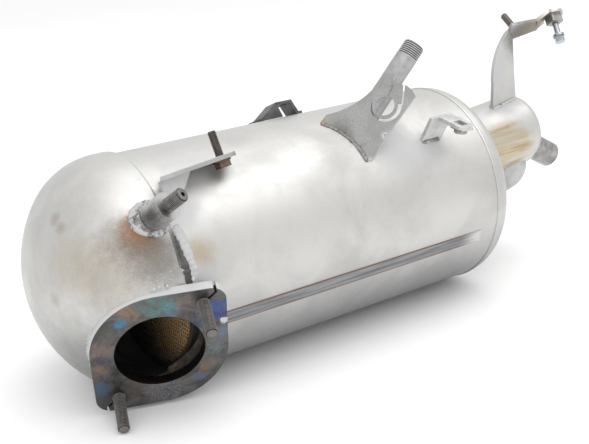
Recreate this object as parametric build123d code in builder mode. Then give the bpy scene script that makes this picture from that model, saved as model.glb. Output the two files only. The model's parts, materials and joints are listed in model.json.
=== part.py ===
import os
from math import atan2, cos, degrees, radians, sin, sqrt

from build123d import *

os.makedirs("parts", exist_ok=True)

# Diesel particulate filter. Millimetres.
# The origin is the centre of the inlet mouth on the flange's sealing face.
# X runs along the canister from the inlet dome to the outlet, Z is up as the filter lies on a floor.

# Canister
shell_radius = 81
shell_wall = 1.5
shell_start = 1
shell_end = 288
seam_x = 9.3

# The mouth's centre lies aside of and below the canister's axis, close over the sheet
mouth_aside = 0.864
mouth_below = 0.448
axis_y = mouth_aside * shell_radius
axis_z = mouth_below * shell_radius

# Inlet cap: a spun dome with a skirt over the canister's end
dome_rise = 66
dome_knuckle = 0.67
cap_wall = 1.8
skirt_length = 6.5
skirt_lap = 2.4
skirt_radius = shell_radius + skirt_lap

# Inlet flange and its two studs
mouth_radius = 30
mouth_direction = (-0.324, -0.8811, -0.3456)
mouth_level = (0.9386, -0.3451, 0)
flange_thickness = 8
flange_width = 91
flange_height = 94
flange_round = 45.4
flange_corner = 11
neck_radius = 40.5
neck_root_radius = 52
neck_depth = 34
neck_bore_radius = 26
cutout_angle = -12
cutout_along = 19
cutout_round = 36
pad_lap = 3
stud_radius = 4
stud_knurl_radius = 4.5
stud_length = 29
stud_circle_radius = 46.8
stud_angle = 49.5
slit_width = 1.4

# Ceramic bricks and their mats
mat_thickness = 4.5
brick_radius = shell_radius - shell_wall - mat_thickness
catalyst_start = 16
catalyst_length = 90
first_mat_inset = 8
filter_start = 122
filter_length = 150
mat_inset = 4
cell_pitch = 9
cell_wall = 1.4
cell_depth = 6

# Outlet end
shoulder_start = shell_end + 3
shoulder_radius = 13
end_face_wall = 1.8
drum_radius = 31.2
drum_wall = 1.5
drum_start = shell_end - 2
drum_aside = 4.2
drum_above = 19.6
drum_direction = (1, 0.017, 0.098)
drum_length = 97
drum_cap_round = 9
outlet_radius = 24
outlet_along = 80
outlet_drop = 26
outlet_direction = (0, 0.83, -0.56)
outlet_length = 70
port_radius = 11
port_aside = 16.5
port_drop = 9
port_length = 33
port_direction = (0.86, 0, -0.5)


def across(x):
    """A plane across the canister, its local x up and its local y towards the inlet's side."""
    return Plane(origin=(seam_x + x, axis_y, axis_z), x_dir=(0, 0, 1), z_dir=(1, 0, 0))


def on_can(x, angle, height=0):
    """A point over the canister's surface, the angle counted from the inlet's side upwards."""
    reach = shell_radius + height
    return Vector(seam_x + x, axis_y - reach * cos(radians(angle)), axis_z + reach * sin(radians(angle)))


def outward(angle):
    """The direction away from the canister's axis."""
    return Vector(0, -cos(radians(angle)), sin(radians(angle)))


can_axis = Axis((seam_x, axis_y, axis_z), (1, 0, 0))
lengthwise = Plane(origin=(seam_x, axis_y, axis_z), x_dir=(1, 0, 0), z_dir=(0, -1, 0))
inlet = Plane(origin=(0, 0, 0), x_dir=mouth_level, z_dir=mouth_direction)
drum_plane = Plane(
    origin=(seam_x + drum_start, axis_y - drum_aside, axis_z + drum_above),
    x_dir=(0, 1, 0),
    z_dir=drum_direction,
)


def tube(plane, outer, inner, length):
    """A plain round tube that stands on a plane."""
    with BuildPart() as made:
        with BuildSketch(plane):
            Circle(outer)
            if inner > 0:
                Circle(inner, mode=Mode.SUBTRACT)
        extrude(amount=length)
    return made.part


def dome_half(rise, radius, rim_x):
    """The filled half outline of the dome and of a straight rim behind it, ready to be turned."""
    knuckle = dome_knuckle * radius
    crown = (rise ** 2 + (radius - knuckle) ** 2 - knuckle ** 2) / (2 * (rise - knuckle))
    joint = 180 - degrees(atan2(radius - knuckle, crown - rise))
    with BuildSketch(lengthwise) as half:
        with BuildLine():
            CenterArc((crown - rise, 0), crown, joint, 180 - joint)
            CenterArc((0, radius - knuckle), knuckle, 90, joint - 90)
            Line((0, radius), (rim_x, radius))
            Line((rim_x, radius), (rim_x, 0))
            Line((rim_x, 0), (-rise, 0))
        make_face()
    return half.sketch


def solid_of_canister():
    """The filled outside of dome and canister, to trim what is welded on them."""
    with BuildPart() as body:
        add(dome_half(dome_rise, skirt_radius, skirt_length))
        revolve(axis=can_axis)
        with BuildSketch(across(0)):
            Circle(shell_radius)
        extrude(amount=shoulder_start)
    return body.part


body_solid = solid_of_canister()


# Inlet flange: a square plate with two large corners round the mouth and two tight ones at the studs
def flange_outline():
    with BuildSketch(Plane.XY) as outline:
        Rectangle(flange_width, flange_height)
        fillet([v for v in outline.vertices() if v.X * v.Y < 0], flange_round)
        fillet(outline.vertices().sort_by(lambda v: -abs(v.X * v.Y))[:2], flange_corner)
    return outline.sketch


def stud_spots():
    x = stud_circle_radius * cos(radians(stud_angle))
    y = stud_circle_radius * sin(radians(stud_angle))
    return [(x, y), (-x, -y)]


flange_shape = flange_outline()

with BuildPart() as inlet_flange:
    with BuildSketch(inlet):
        add(flange_shape)
    extrude(amount=-flange_thickness)
    with BuildSketch(inlet):
        Circle(mouth_radius)
        with Locations(*stud_spots()):
            Circle(stud_knurl_radius)
        # a bent saw slit runs from the edge to each stud
        for side in (1, -1):
            x, y = stud_spots()[0]
            with BuildLine() as slit:
                Polyline(
                    (side * (x + 7.5), side * (flange_height / 2 + 1)),
                    (side * (x + 8.4), side * (y + 7.9)),
                    (side * (x + 2), side * (y + 2)),
                )
            trace(lines=slit.line, line_width=slit_width)
    extrude(amount=-flange_thickness, mode=Mode.SUBTRACT)
inlet_flange.part.label = "inlet_flange"
export_step(inlet_flange.part, "parts/inlet_flange.step")

# Each stud is knurled where it is pressed into the flange
with BuildPart() as inlet_studs:
    with BuildSketch(inlet.offset(-flange_thickness)):
        with Locations(*stud_spots()):
            Circle(stud_knurl_radius)
    extrude(amount=flange_thickness)
    with BuildSketch(inlet):
        with Locations(*stud_spots()):
            Circle(stud_radius)
    extrude(amount=stud_length)
    tips = inlet_studs.faces().filter_by(GeomType.PLANE).sort_by(Axis((0, 0, 0), mouth_direction))[-2:]
    chamfer(tips.edges(), 0.8)
inlet_studs.part.label = "inlet_studs"
export_step(inlet_studs.part, "parts/inlet_studs.step")


# Inlet cap: dome, skirt and the short flared neck behind the flange, one pressing
def neck_flare(extra=0.0):
    with BuildPart() as flare:
        with BuildSketch(inlet.offset(-flange_thickness)):
            Circle(neck_radius + extra)
        with BuildSketch(inlet.offset(-flange_thickness - neck_depth)):
            Circle(neck_root_radius + extra)
        loft()
    return flare.part


def in_front_of_flange():
    """All that lies before the flange's back face within its outline."""
    with BuildPart() as block:
        with BuildSketch(inlet.offset(-flange_thickness)):
            add(flange_shape)
        extrude(amount=40)
    return block.part


front_block = in_front_of_flange()
bore_block = tube(inlet.offset(-48), neck_bore_radius, 0, 60)


cutout_plane = Plane(origin=on_can(0, cutout_angle, -20), x_dir=(1, 0, 0), z_dir=outward(cutout_angle))


def oval_on_can(extra, outer_radius):
    """A patch of sheet on the shell, an oval round the cut behind the inlet."""
    with BuildPart() as patch:
        with BuildSketch(cutout_plane):
            Ellipse(cutout_along + extra, cutout_round + extra)
        extrude(amount=40)
        with BuildSketch(across(0)):
            Circle(outer_radius)
            Circle(shell_radius, mode=Mode.SUBTRACT)
        extrude(amount=60, mode=Mode.INTERSECT)
    return patch.part


pad = oval_on_can(pad_lap, skirt_radius)

with BuildPart() as inlet_cap:
    add(dome_half(dome_rise, skirt_radius, skirt_length))
    revolve(axis=can_axis)
    add(neck_flare())
    add(pad)
    add(dome_half(dome_rise - cap_wall, shell_radius, 80))
    revolve(axis=can_axis, mode=Mode.SUBTRACT)
    add(front_block, mode=Mode.SUBTRACT)
    add(bore_block, mode=Mode.SUBTRACT)
inlet_cap.part.label = "inlet_cap"
export_step(inlet_cap.part, "parts/inlet_cap.step")

# Canister shell, open under the inlet neck
with BuildPart() as shell:
    with BuildSketch(across(shell_start)):
        Circle(shell_radius)
        Circle(shell_radius - shell_wall, mode=Mode.SUBTRACT)
    extrude(amount=shell_end - shell_start)
    add(front_block, mode=Mode.SUBTRACT)
    # oval cut in the front edge, behind the inlet
    with BuildSketch(cutout_plane):
        Ellipse(cutout_along, cutout_round)
    extrude(amount=40, mode=Mode.SUBTRACT)
shell.part.label = "shell"
export_step(shell.part, "parts/shell.step")


# Ring weld between cap skirt and shell
with BuildPart() as cap_ring_weld:
    with BuildSketch(lengthwise):
        with BuildLine():
            Line((skirt_length, shell_radius), (skirt_length, skirt_radius - 0.3))
            ThreePointArc(
                (skirt_length, skirt_radius - 0.3),
                (skirt_length + 2.4, shell_radius + 1.7),
                (skirt_length + 3.6, shell_radius),
            )
            Line((skirt_length + 3.6, shell_radius), (skirt_length, shell_radius))
        make_face()
    revolve(axis=can_axis)
    add(oval_on_can(pad_lap + 3, shell_radius + 1.7))
    add(tube(across(0), skirt_radius, 0, skirt_length), mode=Mode.SUBTRACT)
    add(pad, mode=Mode.SUBTRACT)
    add(neck_flare(), mode=Mode.SUBTRACT)
    add(front_block, mode=Mode.SUBTRACT)
    add(bore_block, mode=Mode.SUBTRACT)
cap_ring_weld.part.label = "cap_ring_weld"
export_step(cap_ring_weld.part, "parts/cap_ring_weld.step")

# Weld between the neck and the flange's back
with BuildPart() as flange_weld:
    with BuildSketch(inlet.offset(-flange_thickness)):
        Circle(neck_radius + 3)
    with BuildSketch(inlet.offset(-flange_thickness - 3)):
        Circle(neck_radius + 1.2)
    loft()
    add(neck_flare(), mode=Mode.SUBTRACT)
    add(body_solid, mode=Mode.SUBTRACT)
    add(pad, mode=Mode.SUBTRACT)
    add(cap_ring_weld.part, mode=Mode.SUBTRACT)
flange_weld.part.label = "flange_weld"
export_step(flange_weld.part, "parts/flange_weld.step")

# Lengthwise weld of the rolled shell, a flat band with a slight rise
band_start = 30
band_end = shell_end - 18
band_low = -21
band_high = -14
band_rise = 0.5
with BuildPart() as shell_seam:
    with BuildSketch(across(band_start)):
        with BuildLine():
            under = CenterArc((0, 0), shell_radius, 90 - band_high, band_high - band_low)
            over = CenterArc((0, 0), shell_radius + band_rise, 90 - band_high, band_high - band_low)
            Line(under @ 0, over @ 0)
            Line(under @ 1, over @ 1)
        make_face()
    extrude(amount=band_end - band_start)
    add(front_block, mode=Mode.SUBTRACT)
    add(neck_flare(3.5), mode=Mode.SUBTRACT)
shell_seam.part.label = "shell_seam"
export_step(shell_seam.part, "parts/shell_seam.step")


# Bricks: a honeycomb of square cells, each brick held by a fibre mat
def brick(start, length):
    """One round brick, open cells in its first face, of the same pitch all over."""
    reach = brick_radius - cell_pitch
    steps = int(reach // cell_pitch)
    spots = []
    for row in range(-steps, steps + 1):
        for column in range(-steps, steps + 1):
            if sqrt(row ** 2 + column ** 2) * cell_pitch < reach:
                spots.append((row * cell_pitch, column * cell_pitch))
    with BuildPart() as made:
        with BuildSketch(across(start)):
            Circle(brick_radius)
        extrude(amount=length)
        with BuildSketch(across(start)):
            with Locations(*spots):
                Rectangle(cell_pitch - cell_wall, cell_pitch - cell_wall)
        extrude(amount=cell_depth, mode=Mode.SUBTRACT)
    return made.part


mat_outer = shell_radius - shell_wall

with BuildPart() as catalyst_brick:
    add(brick(catalyst_start, catalyst_length))
catalyst_brick.part.label = "catalyst_brick"
export_step(catalyst_brick.part, "parts/catalyst_brick.step")

with BuildPart() as catalyst_mat:
    add(
        tube(
            across(catalyst_start + first_mat_inset),
            mat_outer,
            brick_radius,
            catalyst_length - first_mat_inset - mat_inset,
        )
    )
catalyst_mat.part.label = "catalyst_mat"
export_step(catalyst_mat.part, "parts/catalyst_mat.step")

with BuildPart() as filter_brick:
    add(tube(across(filter_start), brick_radius, 0, filter_length))
filter_brick.part.label = "filter_brick"
export_step(filter_brick.part, "parts/filter_brick.step")

with BuildPart() as filter_mat:
    add(tube(across(filter_start + mat_inset), mat_outer, brick_radius, filter_length - 2 * mat_inset))
filter_mat.part.label = "filter_mat"
export_step(filter_mat.part, "parts/filter_mat.step")

# Wire ring that stops the catalyst's mat from being blown out by the gas
ring_wire = 2
with BuildPart() as mat_ring:
    with BuildSketch(lengthwise):
        with Locations((catalyst_start + first_mat_inset - ring_wire / 2, mat_outer - ring_wire)):
            Rectangle(ring_wire, 2 * ring_wire)
    revolve(axis=can_axis)
mat_ring.part.label = "mat_ring"
export_step(mat_ring.part, "parts/mat_ring.step")

# Outlet drum, a smaller round box set high on the end face and tipped up a little
drum_solid = tube(drum_plane, drum_radius, 0, drum_length)
drum_axis = Axis(drum_plane.origin, drum_plane.z_dir)
drum_profile = Plane(
    origin=drum_plane.origin,
    x_dir=drum_plane.z_dir,
    z_dir=drum_plane.z_dir.cross(Vector(0, 0, 1)),
)
outlet_plane = Plane(
    origin=drum_plane.origin + drum_plane.z_dir * outlet_along - Vector(0, 0, outlet_drop),
    x_dir=(1, 0, 0),
    z_dir=outlet_direction,
)


def outlet_elbow(radius):
    """A pipe that leaves the drum's underside backwards, rounded where it starts."""
    with BuildPart() as elbow:
        add(tube(outlet_plane, radius, 0, outlet_length))
        with Locations(outlet_plane.origin):
            Sphere(radius)
    return elbow.part


outlet_outer = outlet_elbow(outlet_radius)
outlet_inner = outlet_elbow(outlet_radius - drum_wall)

# End cap of the canister: a rounded shoulder and a flat end face with the drum's hole
end_face_x = shoulder_start + shoulder_radius
inner_face_x = end_face_x - end_face_wall
face_edge = shell_radius - shoulder_radius
with BuildPart() as end_cap:
    with BuildSketch(lengthwise):
        with BuildLine():
            Line((shell_end, shell_radius), (shoulder_start, shell_radius))
            RadiusArc((shoulder_start, shell_radius), (end_face_x, face_edge), shoulder_radius)
            Line((end_face_x, face_edge), (end_face_x, 0))
            Line((end_face_x, 0), (inner_face_x, 0))
            Line((inner_face_x, 0), (inner_face_x, face_edge))
            RadiusArc(
                (inner_face_x, face_edge),
                (shoulder_start, shell_radius - end_face_wall),
                -(shoulder_radius - end_face_wall),
            )
            Line((shoulder_start, shell_radius - end_face_wall), (shell_end, shell_radius - end_face_wall))
            Line((shell_end, shell_radius - end_face_wall), (shell_end, shell_radius))
        make_face()
    revolve(axis=can_axis)
    add(drum_solid, mode=Mode.SUBTRACT)
end_cap.part.label = "end_cap"
export_step(end_cap.part, "parts/end_cap.step")

# Weld between shell and end cap, a low ring
with BuildPart() as end_ring_weld:
    with BuildSketch(lengthwise):
        with BuildLine():
            Line((shell_end - 1.6, shell_radius), (shell_end + 1.6, shell_radius))
            ThreePointArc(
                (shell_end + 1.6, shell_radius),
                (shell_end, shell_radius + 0.8),
                (shell_end - 1.6, shell_radius),
            )
        make_face()
    revolve(axis=can_axis)
end_ring_weld.part.label = "end_ring_weld"
export_step(end_ring_weld.part, "parts/end_ring_weld.step")

with BuildPart() as outlet_drum:
    add(tube(drum_plane, drum_radius, drum_radius - drum_wall, drum_length))
    add(outlet_inner, mode=Mode.SUBTRACT)
outlet_drum.part.label = "outlet_drum"
export_step(outlet_drum.part, "parts/outlet_drum.step")

def dished_cap():
    """The cap that closes the drum, before any pipe is let into it."""
    inner_round = drum_cap_round - drum_wall
    inner_face = drum_length + inner_round
    outer_face = drum_length + drum_cap_round
    rim = drum_radius - drum_cap_round
    with BuildPart() as cap:
        with BuildSketch(drum_profile):
            with BuildLine():
                Line((drum_length, drum_radius), (drum_length, drum_radius - drum_wall))
                RadiusArc((drum_length, drum_radius - drum_wall), (inner_face, rim), inner_round)
                Line((inner_face, rim), (inner_face, 0))
                Line((inner_face, 0), (outer_face, 0))
                Line((outer_face, 0), (outer_face, rim))
                RadiusArc((outer_face, rim), (drum_length, drum_radius), -drum_cap_round)
            make_face()
        revolve(axis=drum_axis)
    return cap.part


port_plane = Plane(
    origin=drum_plane.origin + drum_plane.z_dir * drum_length + Vector(0, -port_aside, -port_drop),
    x_dir=(0, 1, 0),
    z_dir=port_direction,
)
with BuildPart() as drum_cap:
    add(dished_cap())
    add(tube(port_plane.offset(-port_radius), port_radius, 0, port_length), mode=Mode.SUBTRACT)
    add(outlet_outer, mode=Mode.SUBTRACT)
drum_cap.part.label = "drum_cap"
export_step(drum_cap.part, "parts/drum_cap.step")


def inside_of_drum():
    """All that drum and drum cap enclose, walls counted in."""
    with BuildPart() as closed:
        add(drum_solid)
        with BuildSketch(drum_plane.offset(drum_length)):
            Circle(drum_radius - drum_wall)
        extrude(amount=1)
        add(dished_cap())
    return closed.part


end_block = inside_of_drum()

# Small port in the drum's cap
with BuildPart() as end_port:
    add(tube(port_plane, port_radius, port_radius - 1.5, port_length))
    add(drum_solid, mode=Mode.SUBTRACT)
    add(outlet_outer, mode=Mode.SUBTRACT)
end_port.part.label = "end_port"
export_step(end_port.part, "parts/end_port.step")

# Outlet pipe
with BuildPart() as pipe_outside_drum:
    add(outlet_outer)
    add(outlet_inner, mode=Mode.SUBTRACT)
    add(tube(outlet_plane, outlet_radius - drum_wall, 0, outlet_length + 1), mode=Mode.SUBTRACT)
    add(end_block, mode=Mode.SUBTRACT)
with BuildPart() as outlet_pipe:
    add(pipe_outside_drum.part.solids().sort_by(SortBy.VOLUME)[-1])
outlet_pipe.part.label = "outlet_pipe"
export_step(outlet_pipe.part, "parts/outlet_pipe.step")

# Pressure boss by the inlet cap's rim, with the threaded nipple in it
boss_x = -2
boss_angle = 39
boss_lean = 24
boss_radius = 9.5
boss_height = 19
nipple_radius = 4.9
nipple_length = 15
nipple_seat = 8
nipple_seat_radius = 4.2
side_hole_radius = 1.6
side_hole_height = 6
nipple_bore = 1.6
boss_axis = outward(boss_angle - 1.5) * cos(radians(boss_lean)) + Vector(1, 0, 0) * sin(radians(boss_lean))
boss_plane = Plane(origin=on_can(boss_x, boss_angle), x_dir=(0, 1, 1), z_dir=boss_axis)
with BuildPart() as pressure_boss:
    add(tube(boss_plane.offset(-14), boss_radius, 0, boss_height + 14))
    with BuildSketch(boss_plane.offset(boss_height - nipple_seat)):
        Circle(nipple_seat_radius)
    extrude(amount=nipple_seat, mode=Mode.SUBTRACT)
    add(body_solid, mode=Mode.SUBTRACT)
    add(cap_ring_weld.part, mode=Mode.SUBTRACT)
    side_hole_spot = boss_plane.origin + boss_axis * side_hole_height
    with BuildSketch(Plane(origin=side_hole_spot, x_dir=boss_axis, z_dir=(-0.4, 0, 0.9))):
        Circle(side_hole_radius)
    extrude(amount=2 * boss_radius, mode=Mode.SUBTRACT)
pressure_boss.part.label = "pressure_boss"
export_step(pressure_boss.part, "parts/pressure_boss.step")

with BuildPart() as pressure_nipple:
    with BuildSketch(boss_plane.offset(boss_height - nipple_seat)):
        Circle(nipple_seat_radius)
    extrude(amount=nipple_seat)
    with BuildSketch(boss_plane.offset(boss_height)):
        Circle(nipple_radius)
    extrude(amount=nipple_length)
    chamfer(pressure_nipple.faces().sort_by(Axis((0, 0, 0), boss_axis))[-1].edges(), 0.8)
    with BuildSketch(boss_plane.offset(boss_height - 2)):
        Circle(nipple_bore)
    extrude(amount=nipple_length + 2, mode=Mode.SUBTRACT)
pressure_nipple.part.label = "pressure_nipple"
export_step(pressure_nipple.part, "parts/pressure_nipple.step")

with BuildPart() as boss_weld:
    with BuildSketch(boss_plane.offset(-6)):
        Circle(boss_radius + 3.5)
    with BuildSketch(boss_plane.offset(2.6)):
        Circle(boss_radius + 0.8)
    loft()
    add(tube(boss_plane.offset(-14), boss_radius, 0, boss_height + 14), mode=Mode.SUBTRACT)
    add(body_solid, mode=Mode.SUBTRACT)
    add(cap_ring_weld.part, mode=Mode.SUBTRACT)
boss_weld.part.label = "boss_weld"
export_step(boss_weld.part, "parts/boss_weld.step")

# Strip bracket: a ledge welded along the canister with a gusset under its left half
strip_length = 68
strip_cut = 24
strip_width = 34
strip_thickness = 3
strip_corner = 9
strip_hole_x = strip_length - 11
strip_hole_y = 9
strip_x = 5
strip_angle = 49.63
strip_over_shell = 18
gusset_length = 30
gusset_depth = 24
strip_plane = Plane(
    origin=on_can(strip_x, strip_angle, strip_over_shell),
    x_dir=(0.993, 0.093, 0.074),
    z_dir=(-0.099, 0.312, 0.945),
)
strip_bolt_radius = 3
bolt_shoulder_radius = 3.5
with BuildPart() as strip_bracket:
    with BuildSketch(strip_plane.offset(-strip_thickness / 2)):
        with BuildLine():
            Line((4, 0), (strip_length - strip_corner, 0))
            RadiusArc((strip_length - strip_corner, 0), (strip_length, strip_corner), -strip_corner)
            Line((strip_length, strip_corner), (strip_length, strip_width - 6))
            RadiusArc((strip_length, strip_width - 6), (strip_length - 6, strip_width), -6)
            Line((strip_length - 6, strip_width), (strip_cut, strip_width))
            Line((strip_cut, strip_width), (4, 0))
        make_face()
        with Locations((strip_hole_x, strip_hole_y)):
            Circle(bolt_shoulder_radius, mode=Mode.SUBTRACT)
    extrude(amount=strip_thickness)
    gusset_plane = Plane(
        origin=strip_plane.from_local_coords(Vector(0, 9, -strip_thickness / 2)),
        x_dir=strip_plane.x_dir,
        z_dir=strip_plane.y_dir * -1,
    )
    with BuildSketch(gusset_plane):
        Polygon((6, 0), (gusset_length, 0), (9, -gusset_depth), (6, -gusset_depth), align=None)
    extrude(amount=strip_thickness)
    add(body_solid, mode=Mode.SUBTRACT)
    add(cap_ring_weld.part, mode=Mode.SUBTRACT)
    add(boss_weld.part, mode=Mode.SUBTRACT)
strip_bracket.part.label = "strip_bracket"
export_step(strip_bracket.part, "parts/strip_bracket.step")

# Bolt pressed into the ledge from below, with a shoulder in the hole
bolt_head_height = 4
bolt_head_radius = 5
bolt_flange_radius = 6.6
bolt_flange_height = 1.3
bolt_shank = 17.5
bolt_plane = Plane(
    origin=strip_plane.from_local_coords(Vector(strip_hole_x, strip_hole_y, -strip_thickness / 2)),
    x_dir=strip_plane.x_dir,
    z_dir=strip_plane.z_dir,
)
with BuildPart() as strip_bolt:
    with BuildSketch(bolt_plane):
        Circle(bolt_shoulder_radius)
    extrude(amount=strip_thickness)
    with BuildSketch(bolt_plane.offset(strip_thickness)):
        Circle(strip_bolt_radius)
    extrude(amount=bolt_shank)
    chamfer(strip_bolt.faces().sort_by(Axis((0, 0, 0), bolt_plane.z_dir))[-1].edges(), 0.6)
    with BuildSketch(bolt_plane):
        Circle(bolt_flange_radius)
    extrude(amount=-bolt_flange_height)
    with BuildSketch(bolt_plane.offset(-bolt_flange_height)):
        RegularPolygon(bolt_head_radius, 6, major_radius=False)
    extrude(amount=-bolt_head_height)
strip_bolt.part.label = "strip_bolt"
export_step(strip_bolt.part, "parts/strip_bolt.step")

# Horn plate: a raw cut plate that leans over the canister, its foot cut to the shell
horn_thickness = 2.5
hole_radius = 7.6
tongue_width = 2
slot_width = 2
horn_x = 164.2
horn_angle = 73.58
horn_plane = Plane(
    origin=on_can(horn_x, horn_angle),
    x_dir=(0.2537, -0.8145, -0.5224),
    z_dir=(-0.678, -0.535, 0.505),
)
hole_spot = (29.5, 39)
slot_spot = (31, 39.2)
with BuildPart() as horn_plate:
    with BuildSketch(horn_plane.offset(-horn_thickness)):
        with BuildLine():
            Line((-1.6, 7.4), (-1, -8))
            Line((-1, -8), (47.3, -8))
            Line((47.3, -8), (49, 4))
            Line((49, 4), (46.1, 20.5))
            Line((46.1, 20.5), (43.4, 22))
            Line((43.4, 22), (45.7, 24))
            Line((45.7, 24), (43.5, 58))
            ThreePointArc((43.5, 58), (38, 60.2), (30.2, 60))
            Line((30.2, 60), (24, 53.3))
            Line((24, 53.3), (14, 44))
            ThreePointArc((14, 44), (8.7, 23.3), (-1.6, 7.4))
        make_face()
    extrude(amount=horn_thickness)
    with BuildSketch(horn_plane.offset(-horn_thickness)):
        # round hole, open to the top edge on the left of its crown
        with Locations(hole_spot):
            Circle(hole_radius)
        with Locations((hole_spot[0] - 3.9, hole_spot[1] + 11.5)):
            Rectangle(slot_width - 0.4, 12, rotation=14)
    extrude(amount=horn_thickness, mode=Mode.SUBTRACT)
    with BuildSketch(horn_plane.offset(-horn_thickness)):
        # curved slot below and right of the hole, which leaves a hooked tongue between them
        with Locations(slot_spot):
            Circle(hole_radius + tongue_width + slot_width)
        with Locations(hole_spot):
            Circle(hole_radius + tongue_width, mode=Mode.SUBTRACT)
        with Locations((slot_spot[0] - 13, slot_spot[1] + 12.8)):
            Rectangle(30, 30, rotation=35, mode=Mode.SUBTRACT)
        with Locations((slot_spot[0] + 3, slot_spot[1] + 16)):
            Rectangle(slot_width - 0.3, 20, rotation=35)
    extrude(amount=horn_thickness, mode=Mode.SUBTRACT)
    add(body_solid, mode=Mode.SUBTRACT)
horn_plate.part.label = "horn_plate"
export_step(horn_plate.part, "parts/horn_plate.step")

# Sensor tube: a long threaded port behind the horn plate
tube_radius = 8.2
tube_bore = 5
tube_reach = 95
tube_blind = 26
tube_sunk = 6
tube_foot = horn_plane.from_local_coords(Vector(24.1, -4, -horn_thickness - tube_radius))
tube_top = horn_plane.from_local_coords(Vector(12.7, 88.5, -horn_thickness - tube_radius))
tube_line = (tube_top - tube_foot).normalized()
tube_plane = Plane(origin=tube_foot, x_dir=horn_plane.x_dir, z_dir=tube_line)
with BuildPart() as sensor_tube:
    with BuildSketch(tube_plane.offset(-tube_sunk)):
        Circle(tube_radius)
    extrude(amount=tube_reach + tube_sunk)
    chamfer(sensor_tube.faces().sort_by(Axis((0, 0, 0), tube_line))[-1].edges(), 1)
    with BuildSketch(tube_plane.offset(tube_blind)):
        Circle(tube_bore)
    extrude(amount=tube_reach - tube_blind, mode=Mode.SUBTRACT)
    add(body_solid, mode=Mode.SUBTRACT)
sensor_tube.part.label = "sensor_tube"
export_step(sensor_tube.part, "parts/sensor_tube.step")

with BuildPart() as tube_weld:
    with BuildSketch(tube_plane.offset(8)):
        Circle(tube_radius + 5)
    with BuildSketch(tube_plane.offset(25)):
        Circle(tube_radius + 0.5)
    loft()
    add(tube(tube_plane.offset(-tube_sunk), tube_radius, 0, tube_reach), mode=Mode.SUBTRACT)
    add(body_solid, mode=Mode.SUBTRACT)
    with BuildSketch(horn_plane.offset(-horn_thickness)):
        Rectangle(160, 160)
    extrude(amount=30, mode=Mode.SUBTRACT)
tube_weld.part.label = "tube_weld"
export_step(tube_weld.part, "parts/tube_weld.step")

# Tab bracket: an upright leg on the shell and a shelf with a slot for a clip nut
tab_thickness = 3
leg_height = 19
tab_x = 230.4
tab_angle = 43.5
shelf_width = 14
shelf_reach = 22
tab_plane = Plane(origin=on_can(tab_x, tab_angle), x_dir=(1, 0, 0), z_dir=(0, -0.927, -0.375))
with BuildPart() as tab_bracket:
    with BuildSketch(tab_plane.offset(-tab_thickness)):
        Polygon((0, 0), (-1, -8), (17, -8), (21, 3), (26, leg_height), (5, leg_height), align=None)
    extrude(amount=tab_thickness)
    shelf_plane = Plane(
        origin=tab_plane.from_local_coords(Vector(19, leg_height, -tab_thickness)),
        x_dir=(1, 0, 0),
        z_dir=(0, -0.216, 0.976),
    )
    with BuildSketch(shelf_plane.offset(-tab_thickness)):
        with Locations((0, -shelf_reach / 2)):
            Rectangle(shelf_width, shelf_reach)
        with Locations((0, -shelf_reach)):
            Circle(shelf_width / 2)
        with Locations((0, -shelf_reach + 3)):
            Rectangle(6.5, 9, mode=Mode.SUBTRACT)
    extrude(amount=tab_thickness)
    add(body_solid, mode=Mode.SUBTRACT)
tab_bracket.part.label = "tab_bracket"
export_step(tab_bracket.part, "parts/tab_bracket.step")

# Clip nut hung in the shelf's slot
clip_wall = 1.2
with BuildPart() as tab_clip:
    with BuildSketch(shelf_plane.offset(-tab_thickness)):
        with Locations((0, -shelf_reach + 1.5)):
            Rectangle(shelf_width - 2, 12)
    extrude(amount=-clip_wall)
    with BuildSketch(shelf_plane.offset(-tab_thickness - clip_wall)):
        with Locations((0, -shelf_reach + 2)):
            Circle(5)
    extrude(amount=-3)
    with BuildSketch(shelf_plane.offset(-tab_thickness)):
        with Locations((-2.6, -shelf_reach + 3)):
            Rectangle(1.2, 8)
    extrude(amount=tab_thickness)
    with BuildSketch(shelf_plane.offset(-tab_thickness - clip_wall - 3)):
        with Locations((0, -shelf_reach + 2)):
            Circle(2.4)
    extrude(amount=20, mode=Mode.SUBTRACT)
tab_clip.part.label = "tab_clip"
export_step(tab_clip.part, "parts/tab_clip.step")

# Rear bracket: a strip bent like a low bridge along the back of the canister's crown
rear_x = 135
rear_angle = 109.6
rear_width = 16
rear_height = 10.6
rear_thickness = 2.5
rear_foot = 4
rear_ramp = 16
rear_deck = 13
rear_drop = 4
rear_hole_radius = 3
rear_lift = 0.4
deck_start = rear_foot + rear_ramp
deck_end = deck_start + rear_deck
rear_plane = Plane(origin=on_can(rear_x, rear_angle), x_dir=(1, 0, 0), z_dir=outward(rear_angle - 90))
with BuildPart() as rear_bracket:
    with BuildSketch(rear_plane):
        with BuildLine() as spine:
            Polyline(
                (0, rear_lift),
                (rear_foot, rear_lift),
                (deck_start, rear_height),
                (deck_end, rear_height),
                (deck_end + rear_drop, rear_lift),
                (deck_end + rear_drop + rear_foot, rear_lift),
            )
        trace(lines=spine.line, line_width=rear_thickness)
    extrude(amount=rear_width / 2, both=True)
    # a rib under the ramp, along the side that looks away from the inlet
    with BuildSketch(rear_plane.offset(rear_width / 2 - rear_thickness)):
        Polygon((rear_foot, 0), (deck_start, rear_height), (deck_start + 3, 0), align=None)
    extrude(amount=rear_thickness)
    with BuildSketch(
        Plane(
            origin=on_can(rear_x + (deck_start + deck_end) / 2, rear_angle, rear_height - rear_thickness),
            x_dir=(1, 0, 0),
            z_dir=outward(rear_angle),
        )
    ):
        Circle(rear_hole_radius)
    extrude(amount=2 * rear_thickness, mode=Mode.SUBTRACT)
    add(body_solid, mode=Mode.SUBTRACT)
rear_bracket.part.label = "rear_bracket"
export_step(rear_bracket.part, "parts/rear_bracket.step")

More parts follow.
